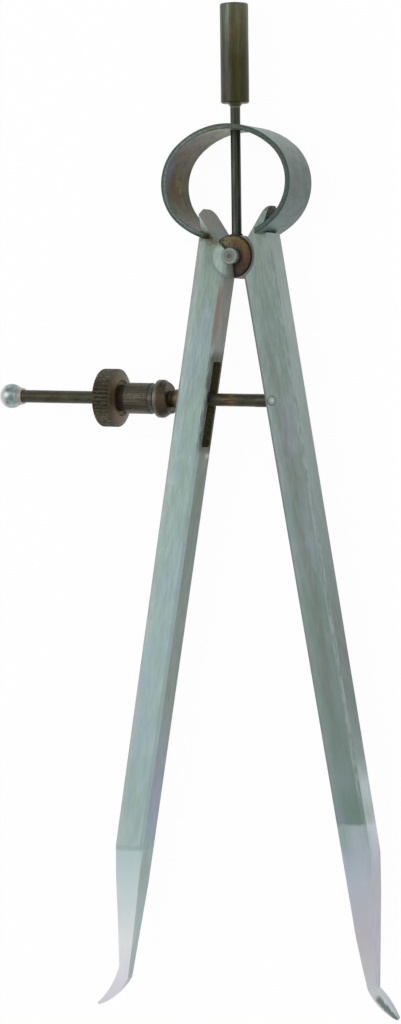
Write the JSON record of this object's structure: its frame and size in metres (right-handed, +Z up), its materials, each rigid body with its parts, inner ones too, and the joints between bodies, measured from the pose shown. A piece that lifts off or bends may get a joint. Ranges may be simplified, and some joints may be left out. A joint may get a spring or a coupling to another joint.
{
  "type": "inside caliper",
  "caption": "Spring-joint inside caliper with two outward-turned legs, bow spring, adjusting screw, thumb nut and turned handle.",
  "frame": {"origin": "bottom centre of the overall box, on the surface the caliper lies on", "axes": "+X to the right across the legs seen from the front, +Y from the tips towards the handle, +Z up, out of the front faces"},
  "size_m": [0.1146, 0.2674, 0.0156],
  "materials": {
    "leg_steel": "satin",
    "bow_steel": "satin",
    "dark_steel": "satin",
    "cap_steel": "polished"
  },
  "bodies": {
    "frame": {"handle": "dark_steel", "fulcrum_roller": "dark_steel", "fulcrum_pin": "leg_steel", "bow_spring": "bow_steel"},
    "left": {"left_leg": "leg_steel"},
    "right": {"right_leg": "leg_steel", "cross_pin": "leg_steel"},
    "screw": {"spindle": "dark_steel", "spindle_cap": "cap_steel"},
    "washer": {"seat_washer": "dark_steel"},
    "nut": {"thumb_nut": "dark_steel"}
  },
  "joints": [
    {"name": "left_swing", "type": "hinge", "parent": "frame", "child": "left", "pos_m": [0.01368, 0.06635, 0.00779], "axis": [0, 0, -1], "range_deg": [-9.5, 12], "deforming": ["bow_spring"]},
    {"name": "right_swing", "type": "hinge", "parent": "frame", "child": "right", "pos_m": [0.01368, 0.06635, 0.00779], "axis": [0, 0, 1], "range_deg": [-9.5, 12], "deforming": ["bow_spring"]},
    {"name": "spindle_swivel", "type": "hinge", "parent": "right", "child": "screw", "pos_m": [0.02498, 0.02805, 0.00779], "axis": [0, 0, -1], "range_deg": [-9.5, 12]},
    {"name": "washer_slide", "type": "slide", "parent": "screw", "child": "washer", "axis": [-0.9994, 0.0349, 0], "range_m": [-0.01284, 0.01617]},
    {"name": "nut_turn", "type": "hinge", "parent": "washer", "child": "nut", "pos_m": [-0.00501, 0.0291, 0.00779], "axis": [-0.9994, 0.0349, 0], "range_deg": [-7604, 9599]}
  ],
  "couplings": [
    {"joint": "right_swing", "follows": "left_swing", "ratio": 1},
    {"joint": "spindle_swivel", "follows": "left_swing", "ratio": 1},
    {"joint": "washer_slide", "follows": "left_swing", "m_per_rad": 0.07623},
    {"joint": "nut_turn", "follows": "left_swing", "ratio": 798.28}
  ]
}
